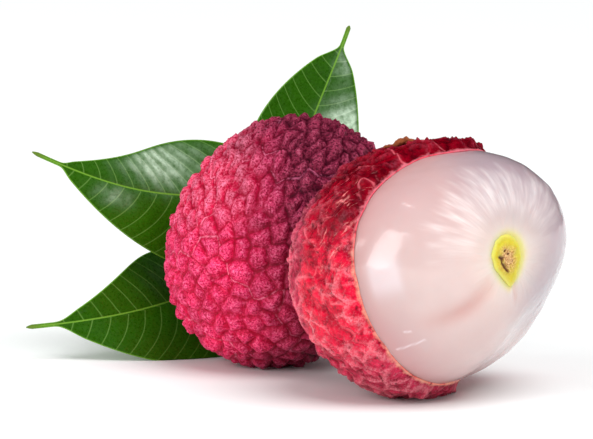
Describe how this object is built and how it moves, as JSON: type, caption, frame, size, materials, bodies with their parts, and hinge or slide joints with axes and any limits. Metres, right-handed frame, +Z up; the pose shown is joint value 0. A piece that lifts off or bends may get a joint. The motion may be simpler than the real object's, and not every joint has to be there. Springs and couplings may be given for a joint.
{
  "type": "bunch of lychees",
  "caption": "Lychees on a leafy twig: a whole bumpy red fruit, and a half-peeled fruit showing its pearly flesh, lying against it.",
  "frame": {"origin": "on the surface the bunch rests on, in the flat spot under the whole fruit", "axes": "+Z up; -Y is the front, where the peeled fruit lies; +X is to the right seen from the front"},
  "size_m": [0.0742, 0.0759, 0.0452],
  "materials": {
    "whole_rind": "dry bumpy fruit rind, dusty crests",
    "stalk": "green-brown stalk",
    "bark": "rough twig bark",
    "leaf": "glossy evergreen leaf",
    "flesh": "wet translucent fruit flesh",
    "wet_rind": "wet bumpy fruit rind",
    "scar": "fibrous yellow-green stalk scar",
    "dry_calyx": "dried brown calyx"
  },
  "bodies": {
    "root": {"whole_lychee": "whole_rind", "fruit_stalk": "stalk", "twig": "bark", "leaf_upper": "leaf", "leaf_left": "leaf", "leaf_lower": "leaf", "peeled_lychee_flesh": "flesh", "peeled_lychee_rind": "wet_rind", "stem_scar": "scar", "dried_calyx": "dry_calyx"}
  },
  "joints": []
}
